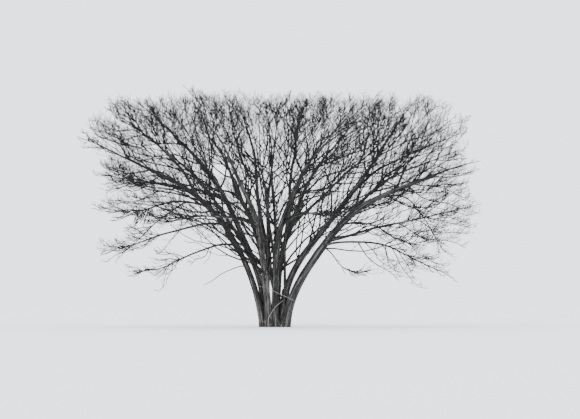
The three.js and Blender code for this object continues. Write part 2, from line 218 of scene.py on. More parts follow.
STEMS = [
    dict(name="left_outer_stem", foot=(-0.262, -0.02), heading=178,
         lean=(12, 20, 53, 64, 72), length=6.3, stout=0.072, bare=0.58),
    dict(name="left_inner_stem", foot=(-0.18, 0.085), heading=164,
         lean=(8, 19, 33, 44, 58), length=6.3, stout=0.078, bare=0.58),
    dict(name="back_left_stem", foot=(-0.085, 0.165), heading=132, turn=-14,
         lean=(6, 18, 38, 46, 54), length=6.2, stout=0.068, bare=0.46),
    dict(name="back_right_stem", foot=(0.03, 0.16), heading=38, turn=16,
         lean=(2, 12, 35, 47, 58), length=6.0, stout=0.07, bare=0.46),
    dict(name="right_inner_stem", foot=(0.15, 0.055), heading=12,
         lean=(3, 31, 45, 26, 48), length=6.2, stout=0.084, bare=0.62),
    dict(name="right_outer_stem", foot=(0.222, -0.04), heading=-8, turn=6,
         lean=(11, 31, 54, 70, 78), length=6.0, stout=0.1, bare=0.6),
    dict(name="front_stem", foot=(-0.005, -0.045), heading=276, turn=44,
         lean=(1, 12, 40, 58, 66), length=5.7, stout=0.084, bare=0.46),
    dict(name="front_left_stem", foot=(-0.14, -0.11), heading=238, turn=8,
         lean=(3, 12, 38, 54, 66), length=5.5, stout=0.08, bare=0.5),
]


def chance(*keys):
    """A number from 0 to 1 that depends only on its whole-number keys, which may be arrays."""
    drawn = np.uint64(SEED)
    for key in keys:
        drawn = (drawn ^ (np.asarray(key).astype(np.uint64) + MIX_STEP & LOW_BITS)) & LOW_BITS
        for mixer, shift in MIXERS:
            drawn = drawn * mixer & LOW_BITS
            drawn = drawn ^ drawn >> shift
    return drawn / 2.0 ** 32


def around(middle, spread, *keys):
    return middle + spread * (chance(*keys) - 0.5)


def direction(heading, lean):
    heading, lean = np.radians(heading), np.radians(lean)
    return np.stack([np.sin(lean) * np.cos(heading), np.sin(lean) * np.sin(heading), np.cos(lean)], -1)


def unit(vectors):
    return vectors / np.linalg.norm(vectors, axis=-1, keepdims=True)


def along(vectors, others):
    return np.sum(vectors * others, -1, keepdims=True)


class Limb:
    """A stem or bough: its centre line, its thickness, and how much of it is bare of twigs."""

    every = []

    @staticmethod
    def named(name):
        return next((limb for limb in Limb.every if limb.name == name), None)

    def __init__(self, name, heading, lean, length, stout, foot=None, on=None, at=0, turn=0, bare=0.5):
        self.name = name
        self.heading = heading
        self.length = length
        self.stout = stout
        self.at = at
        self.index = len(Limb.every)
        self.carrier = Limb.named(on)
        share = (np.arange(STEPS) + 0.5) / STEPS
        upward = SWAY * np.sin(2 * np.pi * (SWAY_TURNS * share + chance(self.index, SWAY_DRAW)))
        sideways = SWAY * np.sin(2 * np.pi * (SWAY_TURNS * share + chance(self.index, SWAY_ACROSS_DRAW)))
        leaning = np.interp(share, np.linspace(0, 1, len(lean)), lean)
        headings = heading + turn * share + SWAY_ACROSS * sideways
        steps = direction(headings, leaning + upward) * length / STEPS
        start = self.carrier.straight_point(at) if self.carrier else np.array([*foot, 0.0])
        self.path = start + np.vstack([np.zeros(3), np.cumsum(steps, 0)])
        before, after = 2 * self.path[0] - self.path[1], 2 * self.path[-1] - self.path[-2]
        self.guides = np.vstack([before, self.path, after])
        self.bare_steps = round(bare * STEPS)
        self.bare = self.bare_steps / STEPS
        Limb.every.append(self)

    def straight_point(self, share):
        low = min(int(share * STEPS), STEPS - 1)
        return self.path[low] + (self.path[low + 1] - self.path[low]) * (share * STEPS - low)

    def point(self, share):
        """A point of the smooth line that the path's corners guide."""
        place = np.asarray(share, float) * STEPS
        low = np.clip(np.floor(place), 0, STEPS - 1).astype(int)
        t = (place - low)[..., None]
        before, first, second, after = (self.guides[low + i] for i in range(4))
        total = (1 - t) ** 3 * before + (3 * t ** 3 - 6 * t ** 2 + 4) * first
        return (total + (3 * t + 3 * t ** 2 - 3 * t ** 3 + 1) * second + t ** 3 * after) / 6

    def forward(self, share):
        half = TANGENT_SPAN / STEPS
        middle = np.minimum(np.asarray(share, float), 1 - half)
        return unit(self.point(middle + half) - self.point(middle - half))

    def thick(self, share):
        left = np.clip(1 - np.asarray(share, float), 0, 1)
        twiggy = np.minimum(left / max(1 - self.bare, 1 / STEPS), 1) ** TWIGGY_TAPER
        return TIP_RADIUS + (self.stout - TIP_RADIUS) * left ** TAPER * twiggy

    def lay(self, spokes, share, swelling):
        """Lays corners around the centre line, at their shares of it and on spokes of its thickness."""
        forward = self.forward(share)
        across = direction(self.heading + 90, 90)
        side = unit(across - along(forward, across) * forward)
        other = np.cross(forward, side)
        reach = (self.thick(share) * swelling(share))[:, None]
        return self.point(share) + reach * (spokes[:, :1] * side + spokes[:, 1:2] * other)


def only(*things):
    """Leaves just these objects selected, the first of them active."""
    if bpy.context.object and bpy.context.object.mode != "OBJECT":
        bpy.ops.object.mode_set(mode="OBJECT")
    bpy.ops.object.select_all(action="DESELECT")
    for thing in things:
        thing.select_set(True)
    if things:
        bpy.context.view_layer.objects.active = things[0]


def settled():
    """Puts the place, turn and size of the object in hand into its mesh, and returns it."""
    bpy.ops.object.transform_apply(location=True, rotation=True, scale=True)
    return bpy.context.object


def corners(mesh):
    flat = np.empty(len(mesh.vertices) * 3, np.float32)
    mesh.vertices.foreach_get("co", flat)
    return flat.reshape(-1, 3).astype(float)


def move_corners(mesh, places):
    mesh.vertices.foreach_set("co", places.astype(np.float32).ravel())
    mesh.update()


def remember_grain(mesh, places):
    """Keeps each corner's place on the straight log, which the bark's pattern follows."""
    grain = mesh.attributes.new("grain", "FLOAT_VECTOR", "POINT")
    grain.data.foreach_set("vector", places.astype(np.float32).ravel())


def grooved(thing, reliefs, size=1):
    """Presses kinds of relief into a piece, each by a displacement that is applied at once."""
    for kind, grain, depth in reliefs:
        relief = bpy.data.textures.new("relief", type=kind)
        relief.noise_scale = grain * size
        bpy.ops.object.modifier_add(type="DISPLACE")
        modifier = thing.modifiers[-1]
        modifier.texture = relief
        modifier.strength = depth * size
        bpy.ops.object.modifier_apply(modifier=modifier.name)


def straight_log(name, sides, rings, radius, length, offset):
    """A straight, fluted log of one thickness, standing on z = 0. Returns its object and its corners."""
    only()
    squeezed = length / LOG_SQUEEZE
    bpy.ops.mesh.primitive_cylinder_add(
        vertices=sides, radius=radius, depth=squeezed, location=(0, 0, offset + squeezed / 2))
    log = settled()
    log.name = name
    log.data.name = name
    places = corners(log.data)
    for edge in log.data.edges:
        first, second = edge.vertices
        edge.select = bool(abs(places[first, 2] - places[second, 2]) > squeezed / 2)
    for face in log.data.polygons:
        face.select = False
    bpy.context.scene.tool_settings.mesh_select_mode = (False, True, False)
    bpy.ops.object.mode_set(mode="EDIT")
    bpy.ops.mesh.subdivide(number_cuts=rings - 1)
    bpy.ops.object.mode_set(mode="OBJECT")
    grooved(log, LOG_RELIEF, radius)
    places = corners(log.data)
    places[:, 2] = (places[:, 2] - offset) * LOG_SQUEEZE
    return log, places


def limb_log(limb, sides, ring_length, first_share, swelling):
    """A limb's log with its bark's relief, laid along the limb from its foot to its tip."""
    length = limb.length * (1 - first_share)
    rings = int(length / ring_length)
    offset = limb.index * LOG_SPACING
    log, places = straight_log(limb.name + "_bark", sides, rings, limb.stout, length, offset)
    remember_grain(log.data, places + [0, 0, offset])
    straight = places / [limb.stout, limb.stout, length]
    share = first_share + straight[:, 2] * (1 - first_share)
    move_corners(log.data, limb.lay(straight[:, :2], share, swelling))
    return log


def foot_swelling(limb):
    def swelling(share):
        height = np.maximum(share, 0) * limb.length
        return 1 + FLARE * np.exp(-height / FLARE_HEIGHT)
    return swelling


def cut_at_ground(thing):
    only(thing)
    bpy.ops.object.mode_set(mode="EDIT")
    bpy.ops.mesh.select_all(action="SELECT")
    bpy.ops.mesh.bisect(plane_co=(0, 0, 0), plane_no=(0, 0, 1), use_fill=True, clear_inner=True)
    bpy.ops.object.mode_set(mode="OBJECT")


class WoodFinish(Finish):
    """A finish for bark and other woody skins, with relief and a pattern that can follow a log's grain."""

    def grain(self):
        return self.node("ShaderNodeAttribute", {"attribute_name": "grain"}, {}, output="Vector")

    def drawn_out(self, place, lengthwise):
        return self.node("ShaderNodeMapping", {}, {"Vector": place, "Scale": (1, 1, lengthwise)})

    def blended(self, way, share, first, second):
        settings = {"data_type": "RGBA", "blend_type": way}
        return self.node("ShaderNodeMix", settings, {0: share, 6: first, 7: second}, output=2)

    def bump(self, height, strength, distance):
        values = {"Height": height, "Strength": strength, "Distance": distance}
        return self.node("ShaderNodeBump", {}, values)


def paint_bark(name, shaded_crevice, ridge, highlight_streak):
    finish = WoodFinish(name)
    grain = finish.grain()
    lengthwise = finish.drawn_out(grain, lengthwise=0.1)
    flutes = finish.noise(finish.drawn_out(grain, lengthwise=0.06), scale=26, detail=3)
    furrows = finish.noise(lengthwise, scale=90, detail=6, roughness=0.62)
    blotches = finish.noise(grain, scale=5, detail=5, roughness=0.6)
    fine = finish.noise(lengthwise, scale=320, detail=3)
    # Painted shade: the bark darkens to the crevice shade where its furrows sink.
    colour = finish.coloured(furrows, between=(0.34, 0.62), shades=(shaded_crevice, ridge))
    # Painted highlight: paler streaks along the flutes and the furrows' ridges stand in for light catching
    # them.
    highlight_share = finish.coloured(flutes * 0.8 + furrows * 0.3, between=(0.56, 0.7), shades=BLACK_TO_WHITE)
    colour = finish.blended("MIX", highlight_share, colour, (*highlight_streak, 1))
    dull = finish.coloured(blotches, between=(0.3, 0.72), shades=BLOTCH_SHADES)
    colour = finish.blended("MULTIPLY", 1.0, colour, dull)
    bump = finish.bump(furrows * 0.75 + fine * 0.25, strength=0.75, distance=0.006)
    roughness = 0.96 - furrows * 0.2
    return finish.surface(Base_Color=colour, Roughness=roughness, Normal=bump, Specular_IOR_Level=BARK_SHINE)


def finished(piece, material, slot, *nodes):
    only(piece)
    bpy.ops.object.shade_smooth()
    piece.data.materials.append(material)
    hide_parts(*nodes)
    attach(piece, "root")


DARK_BARK = paint_bark("dark_fluted_bark", **DARK_SHADES)
# The second bark is the same bark with paler shades, painted as if more brightly lit.
BRIGHTLY_LIT_BARK = paint_bark("painted_lit_fluted_bark", **BRIGHTLY_LIT_SHADES)
for row in STEMS:
    stem = Limb(**row)
    log = limb_log(stem, STEM_SIDES, STEM_RING, -ROOT_DEPTH / stem.length, foot_swelling(stem))
    cut_at_ground(log)
    # The one stem wears the bark that is painted as more brightly lit.
    if stem.name == BRIGHTLY_LIT_STEM:
        finished(log, BRIGHTLY_LIT_BARK, "grey_bark", stem.name)
    else:
        finished(log, DARK_BARK, "bark", stem.name)

# The root crown: a low boss of old wood that all the stems spring from, webbed up between their feet and cut
# off level with the ground. It is fused from the stems' own feet and a mound, then smoothed as growth
# smooths it. Its relief is in metres, and is drawn out upwards.
CROWN_HEIGHT = 0.44
CROWN_DEPTH = 0.12
CROWN_SWELL = (1.12, 0.9)
CROWN_SIDES = 24
CROWN_RINGS = 12
MOUND = dict(location=(0.01, 0.02, 0), scale=(0.25, 0.175, 0.085), segments=40, ring_count=24)
CROWN_VOXEL = 0.009
CROWN_SMOOTHING = 0.8
CROWN_SMOOTHINGS = 14
CROWN_SQUEEZE = 4
CROWN_RELIEF = [("CLOUDS", 0.035, 0.012), ("CLOUDS", 0.012, 0.005)]


def foot_of(stem):
    """The lowest run of a stem, swollen downwards, to be fused into the root crown."""
    only()
    bpy.ops.mesh.primitive_cylinder_add(vertices=CROWN_SIDES, radius=1, depth=1, location=(0, 0, 0.5))
    foot = settled()
    bpy.ops.object.mode_set(mode="EDIT")
    bpy.ops.mesh.select_all(action="SELECT")
    bpy.ops.mesh.subdivide(number_cuts=CROWN_RINGS)
    bpy.ops.object.mode_set(mode="OBJECT")
    places = corners(foot.data)
    places[:, :2] *= np.interp(places[:, 2:], (0, 1), CROWN_SWELL)
    share = (places[:, 2] * (CROWN_HEIGHT + CROWN_DEPTH) - CROWN_DEPTH) / stem.length
    move_corners(foot.data, stem.lay(places[:, :2], share, foot_swelling(stem)))
    return foot


crown_parts = [foot_of(stem) for stem in Limb.every]
only()
bpy.ops.mesh.primitive_uv_sphere_add(radius=1, **MOUND)
crown_parts.append(settled())
only(*crown_parts)
bpy.ops.object.join()
crown = bpy.context.object
crown.name = "root_crown_bark"
crown.data.name = "root_crown_bark"
crown.data.remesh_voxel_size = CROWN_VOXEL
bpy.ops.object.voxel_remesh()
bpy.ops.object.modifier_add(type="SMOOTH")
crown.modifiers[-1].factor = CROWN_SMOOTHING
crown.modifiers[-1].iterations = CROWN_SMOOTHINGS
bpy.ops.object.modifier_apply(modifier=crown.modifiers[-1].name)
crown.scale = (1, 1, 1 / CROWN_SQUEEZE)
grooved(settled(), CROWN_RELIEF)
crown.scale = (1, 1, CROWN_SQUEEZE)
cut_at_ground(settled())
remember_grain(crown.data, corners(crown.data))
finished(crown, DARK_BARK, "bark", "root_crown")

# The boughs: side limbs of the same living wood, grown out of the stems with a thickened collar at the
# joint. Low ones arch over and droop before they turn up, and high ones run on beside their stem. One low
# shoot has no twigs.
BOUGH_SIDES = 22
BOUGH_RING = 0.03
COLLAR = 0.45
COLLAR_LENGTH = 2.2

BOUGHS = [
    dict(name="left_lowest_shoot", on="left_outer_stem", at=0.22, heading=184,
         lean=(88, 108, 120, 126, 116), length=1.05, stout=0.012, bare=1),
    dict(name="left_low_bough", on="left_outer_stem", at=0.3, heading=190,
         lean=(80, 106, 118, 110, 90), length=2.3, stout=0.024),
    dict(name="left_middle_bough", on="left_outer_stem", at=0.39, heading=176,
         lean=(90, 100, 110, 106, 80), length=2.75, stout=0.027),
    dict(name="left_side_bough", on="left_outer_stem", at=0.47, heading=190,
         lean=(70, 92, 110, 92, 60), length=2.5, stout=0.026),
    dict(name="left_arching_bough", on="left_side_bough", at=0.2, heading=214, turn=-20,
         lean=(112, 126, 130, 136, 126), length=1.9, stout=0.016),
    dict(name="left_fork_bough", on="left_outer_stem", at=0.53, heading=176,
         lean=(26, 36, 50, 56, 62), length=2.7, stout=0.036),
    dict(name="left_level_bough", on="left_inner_stem", at=0.46, heading=188,
         lean=(52, 80, 84, 76, 70), length=2.8, stout=0.03),
    dict(name="left_upper_bough", on="left_inner_stem", at=0.15, heading=176,
         lean=(22, 29, 44, 50, 62), length=5.2, stout=0.046),
    dict(name="right_low_bough", on="right_outer_stem", at=0.355, heading=-10,
         lean=(84, 70, 84, 72, 84), length=3.45, stout=0.03),
    dict(name="right_drooping_bough", on="right_outer_stem", at=0.335, heading=-32,
         lean=(76, 92, 108, 118, 112), length=3.2, stout=0.026),
    dict(name="right_hanging_bough", on="right_outer_stem", at=0.33, heading=24,
         lean=(120, 142, 130, 98, 76), length=1.25, stout=0.014),
    dict(name="right_arching_bough", on="right_outer_stem", at=0.41, heading=-26,
         lean=(58, 94, 128, 102, 62), length=2.4, stout=0.02),
    dict(name="right_weeping_bough", on="right_outer_stem", at=0.56, heading=26,
         lean=(58, 84, 128, 152, 136), length=2.5, stout=0.018),
    dict(name="right_long_bough", on="right_outer_stem", at=0.14, heading=4,
         lean=(28, 38, 46, 66, 72), length=5.0, stout=0.054),
    dict(name="right_upper_bough", on="right_inner_stem", at=0.57, heading=30, turn=-10,
         lean=(50, 56, 66, 68, 60), length=2.8, stout=0.03),
    dict(name="front_right_bough", on="right_inner_stem", at=0.11, heading=262, turn=80,
         lean=(4, 16, 36, 50, 56), length=4.9, stout=0.032),
    dict(name="front_low_bough", on="front_stem", at=0.4, heading=306,
         lean=(66, 84, 96, 98, 80), length=2.7, stout=0.026),
    dict(name="front_left_low_bough", on="front_left_stem", at=0.4, heading=208,
         lean=(64, 82, 94, 96, 80), length=2.7, stout=0.024),
    dict(name="back_bough", on="back_right_stem", at=0.36, heading=82,
         lean=(14, 30, 44, 54, 60), length=4.3, stout=0.04),
    dict(name="back_left_low_bough", on="back_left_stem", at=0.4, heading=160,
         lean=(70, 86, 96, 96, 78), length=2.7, stout=0.024),
    dict(name="back_right_bough", on="back_right_stem", at=0.36, heading=14,
         lean=(40, 46, 50, 46, 44), length=3.7, stout=0.034),
    dict(name="centre_top_bough", on="back_right_stem", at=0.11, heading=196,
         lean=(20, 11, 5, 12, 26), length=4.6, stout=0.058),
]


def collar_swelling(limb):
    buried = float(limb.carrier.thick(limb.at))

    def swelling(share):
        past = np.maximum(share * limb.length - buried, 0)
        return 1 + COLLAR * np.exp(-past / (COLLAR_LENGTH * limb.stout))
    return swelling


for row in BOUGHS:
    bough = Limb(**row)
    log = limb_log(bough, BOUGH_SIDES, BOUGH_RING, 0, collar_swelling(bough))
    finished(log, DARK_BARK, "bark", bough.name)

# The centre shoots: slender upright shoots of the same wood, grown up in the shade between the stems, one
# from the ground and two from low on stems. They thread between the stems' forks and bear their own twigs.
CENTRE_SHOOTS = [
    dict(name="centre_left_shoot", foot=(-0.1, 0.0), heading=14,
         lean=(-5, -1, 2, 6, 14), length=5.0, stout=0.05, bare=0.55),
    dict(name="centre_right_shoot", on="back_right_stem", at=0.2, heading=190,
         lean=(8, 4, 2, 4, 10), length=3.7, stout=0.04, bare=0.5),
    dict(name="centre_front_shoot", on="front_stem", at=0.2, heading=200,
         lean=(4, 8, 10, 6, 2), length=3.4, stout=0.036, bare=0.45),
]

for row in CENTRE_SHOOTS:
    shoot = Limb(**row)
    if shoot.carrier:
        log = limb_log(shoot, BOUGH_SIDES, BOUGH_RING, 0, collar_swelling(shoot))
    else:
        log = limb_log(shoot, BOUGH_SIDES, BOUGH_RING, -ROOT_DEPTH / shoot.length, foot_swelling(shoot))
        cut_at_ground(log)
    finished(log, DARK_BARK, "bark")

# The twigs: each limb carries forks, the forks twigs, the twigs twiglets and those their spurs, all leafless
# and thin, growing on from the wood that carries them. They follow their carrier's lead, crook a little as
# they grow, and one that would touch a limb or leave its own space stays short or is missing.
UP = np.array([0.0, 0.0, 1.0])
RIGHT = np.array([1.0, 0.0, 0.0])
LEVEL = np.array([1.0, 1.0, 0.0])
NEXT_TO_NOTHING = 1e-6
STEEP = 0.95
CROOK = 0.032
CROOK_TURNS = 1.3
FORWARD_SPAN = 0.05
COLLAR_OF_TWIGS = 1.25
TWIG_SHADES = ((0.01, 0.0097, 0.0094), (0.036, 0.0348, 0.0335))

# The crown's edge is nearly flat on top and oval from above, and is drawn in low on the left. Twigs end a
# little inside it, unevenly, and find less light the deeper they are in it.
EDGE = dict(top=5.3, rise=0.12, drop=0.85, squareness=8, half_wide=4.62, half_deep=3.2)
LOW_LEFT = dict(below=3.9, half_wide=4.12)
EDGE_GAP = 0.03
EDGE_DRAW = 8
EDGE_POWER = 1.5
TWIG_UNEVENNESS = 0.2
FORK_UNEVENNESS = 0.8
SHADED_FROM = 0.3
DARKEST = 0.06
LOWEST_TWIG = 0.32
CLEARANCE = 0.014
SHORTENINGS = (1, 0.9, 0.8, 0.7, 0.6, 0.5, 0.4)
TESTED_SHARES = (0.3, 0.5, 0.7, 0.85, 1)
SHORTEST = 0.016

# Each kind's places on its carrier, its draws, its shape as multiples of what the carrier gives, and its
# mesh. A kind's buds all open on a carrier of the length called enough.
STATION, ROLL, ANGLE, SIZE, CROOK_ALONG, CROOK_ACROSS, LIGHT, OPENING = range(8)
ANGLE_SPREAD = 0.4
FORK = dict(
    places=22, draw=10, spread=0.5, angle=34, roll=75, roll_spread=150, reach=0.8,
    shortens=0.66, rise=0.6, size_spread=0.5, lift=0.0, follow=0.6, outward=0.25,
    thinner=0.7, stoutness=0.0035, tip=0.0065, sides=6, rings=8)
TWIG = dict(
    places=15, draw=20, spread=0.6, start=0.12, over=0.86, angle=50, roll=55, roll_spread=110, reach=0.3,
    shortens=0.3, size_spread=0.8, lift=0.15, follow=0.3, outward=0.1,
    thinner=0.8, stoutness=0.003, tip=0.0042, enough=1.5, shading=0.45, sides=4, rings=4)
TWIGLET = dict(
    places=10, draw=30, spread=0.8, start=0.1, over=0.88, angle=52, roll=70, roll_spread=140, reach=0.5,
    shortens=0.4, size_spread=0.7, lift=0.15, follow=0.2, outward=0.0,
    thinner=0.8, stoutness=0.003, tip=0.0025, enough=0.45, shading=0.5, sides=3, rings=2)
SPUR = dict(
    places=5, draw=40, spread=0.8, start=0.15, over=0.8, angle=52, roll=60, roll_spread=130, reach=0.5,
    shortens=0.3, size_spread=0.8, lift=0.1, follow=0.2, outward=0.0,
    thinner=0.9, stoutness=0.005, tip=0.0021, enough=0.22, shading=0.5, sides=3, rings=1)

# The inner forks stand on a limb below its crown of twigs, cross in the shade, and are fewer on short limbs.
# The limb twigs stand straight on a limb's last run. Both have keys of their own for their draws.
INNER_FORK = dict(
    places=36, draw=50, spread=0.6, angle=46, roll=90, roll_spread=180, shortens=0.1, rise=0.5,
    size_spread=0.6, lift=0.15, follow=0.25, outward=0.1, thinner=0.55, stoutness=0.005, tip=0.006)
INNER_REACH = 0.75
INNER_FIRST = 0.35
INNER_LAST = 0.74
INNER_KEYS = 50
ENOUGH_LIMB = 5.5
LIMB_TWIG = dict(TWIG, places=10, draw=60, rise=0, roll=80, roll_spread=120, lift=0.3, angle=38)
LIMB_TWIG_REACH = 0.45
LIMB_TWIG_KEYS = 100

# Where too many metres of forks or twigs cross in one square of the crown's face, some are missing. Low down
# fewer are enough, and in the middle it depends on the height.
FACE_SQUARE = 0.4
FACE_SQUARES = (26, 16)
FACE_SHARES = (0.25, 0.5, 0.75, 1)
FORK_WOOD, FORK_WOOD_DRAW = 4.7, 9
TWIG_WOOD, TWIG_WOOD_DRAW = 10.8, 19
FEWEST = 0.15
SPARSE_FROM = (1.9, 3.2)
SPARSE = (0.5, 1)
CENTRE_WIDE = 1.4
CENTRE_FROM = (2.6, 3.4)
CENTRE_FULL = (1.3, 0.88)
FINE, INNER = "_fine_twigs", "_inner_twigs"


class Shoots:
    """Many side shoots at once: where each starts, how it sets off, and how it has turned by its tip."""

    def __init__(self, **arrays):
        self.arrays = arrays
        self.__dict__.update(arrays)

    def __len__(self):
        return len(self.length)

    def chosen(self, mask):
        return Shoots(**{name: values[mask] for name, values in self.arrays.items()})

    def altered(self, **arrays):
        return Shoots(**{**self.arrays, **arrays})

    def __add__(self, other):
        pairs = {name: (values, other.arrays[name]) for name, values in self.arrays.items()}
        return Shoots(**{name: np.concatenate(pair) for name, pair in pairs.items()})

    def point(self, share):
        share = np.broadcast_to(np.asarray(share, float), self.length.shape)[:, None]
        turned = (self.turns_to - self.sets_off) * share ** 2 / 2 + self.sets_off * share
        wander = np.sin(2 * np.pi * (CROOK_TURNS * share + self.phase)) - np.sin(2 * np.pi * self.phase)
        turned = turned + CROOK * (wander[:, :1] * self.side + wander[:, 1:] * self.other)
        return self.start + self.length[:, None] * turned

    def forward(self, share):
        share = np.broadcast_to(np.asarray(share, float), self.length.shape)
        near = np.clip(share, FORWARD_SPAN, 1 - FORWARD_SPAN)
        return unit(self.point(near + FORWARD_SPAN) - self.point(near - FORWARD_SPAN))

    def thick(self, share):
        return self.radius + (self.tip - self.radius) * share


def side_shoots(start, forward, carrier_radius, keys, law, longest, index):
    """The side shoots at many places, one for each row of keys."""
    def draw(middle, spread, kind):
        return around(middle, spread, index, law["draw"] + kind, *keys.T)

    handed = np.where(keys[:, -1] % 2, 1, -1)
    roll = np.radians(draw(law["roll"], law["roll_spread"], ROLL) * handed)[:, None]
    angle = np.radians(law["angle"] * draw(1, ANGLE_SPREAD, ANGLE))[:, None]
    length = longest * draw(1, law["size_spread"], SIZE)
    above = np.where(np.abs(forward[:, 2:]) > STEEP, RIGHT, UP)
    upper = unit(above - along(above, forward) * forward)
    away = upper * np.cos(roll) + np.cross(forward, upper) * np.sin(roll)
    sets_off = forward * np.cos(angle) + away * np.sin(angle)
    side = unit(np.cross(sets_off, away))
    outward = unit(start * LEVEL + NEXT_TO_NOTHING)
    turns_to = unit(sets_off + UP * law["lift"] + forward * law["follow"] + outward * law["outward"])
    stoutest = law["tip"] + law["stoutness"] * length
    crook = [chance(index, law["draw"] + kind, *keys.T) for kind in (CROOK_ALONG, CROOK_ACROSS)]
    return Shoots(
        start=start, sets_off=sets_off, turns_to=turns_to, length=length,
        radius=np.minimum(law["thinner"] * carrier_radius, stoutest), tip=np.full(len(keys), law["tip"]),
        side=side, other=np.cross(side, sets_off), keys=keys, phase=np.stack(crook, -1))


def shoots_on_limb(limb, law, first_share, last_share, reach):
    """The shoots that stand straight on a limb between two shares of it. The first may reach so far."""
    place = np.arange(law["places"])
    station = around(place + 0.5, law["spread"], limb.index, law["draw"] + STATION, place) / law["places"]
    share = first_share + (last_share - first_share) * station
    forward = limb.forward(share)
    longest = reach * (1 - law["shortens"] * station) * (1 + law["rise"] * forward[:, 2])
    start, radius = limb.point(share), limb.thick(share)
    return side_shoots(start, forward, radius, place[:, None], law, longest, limb.index)


def shoots_on(carriers, law, index):
    """The shoots that stand on other shoots. The shorter their carrier, the fewer of its buds open."""
    place = np.tile(np.arange(law["places"]), len(carriers))
    carrier = carriers.chosen(np.repeat(np.arange(len(carriers)), law["places"]))
    keys = np.column_stack([carrier.keys, place])
    opens = chance(index, law["draw"] + OPENING, *keys.T) < carrier.length / law["enough"]
    carrier, keys = carrier.chosen(opens), keys[opens]
    bud = keys[:, -1] + 0.5
    station = around(bud, law["spread"], index, law["draw"] + STATION, *keys.T) / law["places"]
    share = law["start"] + law["over"] * station
    longest = carrier.length * law["reach"] * (1 - law["shortens"] * share)
    start, radius = carrier.point(share), carrier.thick(share)
    return side_shoots(start, carrier.forward(share), radius, keys, law, longest, index)


def depth_in_crown(points):
    """How far points are inside the crown's edge."""
    x, y, z = points.T
    drawn_in = (x < 0) & (z < LOW_LEFT["below"])
    wide = np.abs(x) / np.where(drawn_in, LOW_LEFT["half_wide"], EDGE["half_wide"])
    top = EDGE["top"] + EDGE["rise"] * y - EDGE["drop"] * wide ** EDGE["squareness"]
    return np.minimum(top - z, (1 - np.hypot(wide, y / EDGE["half_deep"])) * EDGE["half_deep"])


def lit(shoots, law, index):
    """The shoots that still find light: all at the crown's edge, and fewer the deeper they are in it."""
    kept = np.clip(1 - law["shading"] * (depth_in_crown(shoots.point(1)) - SHADED_FROM), DARKEST, 1)
    return shoots.chosen(chance(index, law["draw"] + LIGHT, *shoots.keys.T) < kept)


class Crowding:
    """Every step of every limb, to tell how near a point comes to them."""

    def __init__(self, limbs):
        self.first = np.vstack([limb.path[:-1] for limb in limbs])
        self.run = np.vstack([np.diff(limb.path, axis=0) for limb in limbs])
        self.thick = np.concatenate([limb.thick(np.arange(STEPS) / STEPS) for limb in limbs])
        self.bare = np.concatenate([np.arange(STEPS) < limb.bare_steps for limb in limbs])
        self.owner = np.repeat([limb.index for limb in limbs], STEPS)

    def gaps(self, points):
        share = points @ self.run.T - np.sum(self.first * self.run, 1)
        share = np.clip(share / np.sum(self.run ** 2, 1), 0, 1)
        nearest = self.first + share[..., None] * self.run
        return np.linalg.norm(points[:, None] - nearest, axis=-1)

    def keeps_clear(self, points, room):
        return (self.gaps(points) - self.thick).min(1) >= room

    def keeps_its_space(self, points, room, index):
        gap = self.gaps(points)
        clear = (gap - self.thick)[:, self.bare].min(1) >= room
        own = gap[:, ~self.bare & (self.owner == index)].min(1)
        other = gap[:, ~self.bare & (self.owner != index)].min(1)
        return clear & (other >= own + room)


crowding = Crowding(Limb.every)


def fitted(shoots, index, inner=False, unevenness=TWIG_UNEVENNESS):
    """Each shoot at the longest of a few lengths that keeps its space, without those that can't."""
    size = np.zeros(len(shoots))
    margin = EDGE_GAP + unevenness * chance(index, EDGE_DRAW, *shoots.keys.T) ** EDGE_POWER
    for shortening in SHORTENINGS:
        asked = np.flatnonzero(size == 0)
        trial = shoots.chosen(asked)
        trial = trial.altered(length=trial.length * shortening)
        fits = np.ones(len(asked), bool)
        for share in TESTED_SHARES:
            points = trial.point(share)
            room = trial.thick(share) + CLEARANCE
            fits &= (depth_in_crown(points) > margin[asked]) & (points[:, 2] > LOWEST_TWIG)
            if inner:
                fits &= crowding.keeps_clear(points, room)
            else:
                fits &= crowding.keeps_its_space(points, room, index)
        size[asked[fits]] = shortening
    kept = shoots.chosen(size > 0)
    return kept.altered(length=kept.length * size[size > 0])


def outer_forks(limb):
    reach = limb.length * (1 - limb.bare) * FORK["reach"]
    forks = shoots_on_limb(limb, FORK, limb.bare, 1, reach)
    return fitted(forks, limb.index, unevenness=FORK_UNEVENNESS)


def inner_forks(limb):
    reach = limb.length * (1 - limb.bare) * INNER_REACH
    forks = shoots_on_limb(limb, INNER_FORK, limb.bare * INNER_FIRST, INNER_LAST, reach)
    forks = forks.altered(keys=forks.keys + INNER_KEYS)
    drawn = chance(limb.index, INNER_FORK["draw"] + OPENING, *forks.keys.T)
    forks = forks.chosen(drawn < (limb.length / ENOUGH_LIMB) ** 2)
    return fitted(forks, limb.index, inner=True, unevenness=FORK_UNEVENNESS)


def twigs_on(limb, kind, forks):
    twigs = lit(fitted(shoots_on(forks, TWIG, limb.index), limb.index, inner=True), TWIG, limb.index)
    if kind == INNER:
        return twigs
    own = fitted(shoots_on_limb(limb, LIMB_TWIG, limb.bare, 1, LIMB_TWIG_REACH), limb.index)
    return twigs + own.altered(keys=np.column_stack([own.keys + LIMB_TWIG_KEYS, own.keys]))


def squares(shoots):
    """The squares of the crown's face, as the view has it, that shoots pass through."""
    places = np.stack([shoots.point(share)[:, [0, 2]] for share in FACE_SHARES], 1)
    columns, rows = np.moveaxis(np.floor(places / FACE_SQUARE).astype(int), -1, 0)
    return columns + FACE_SQUARES[0] // 2, rows


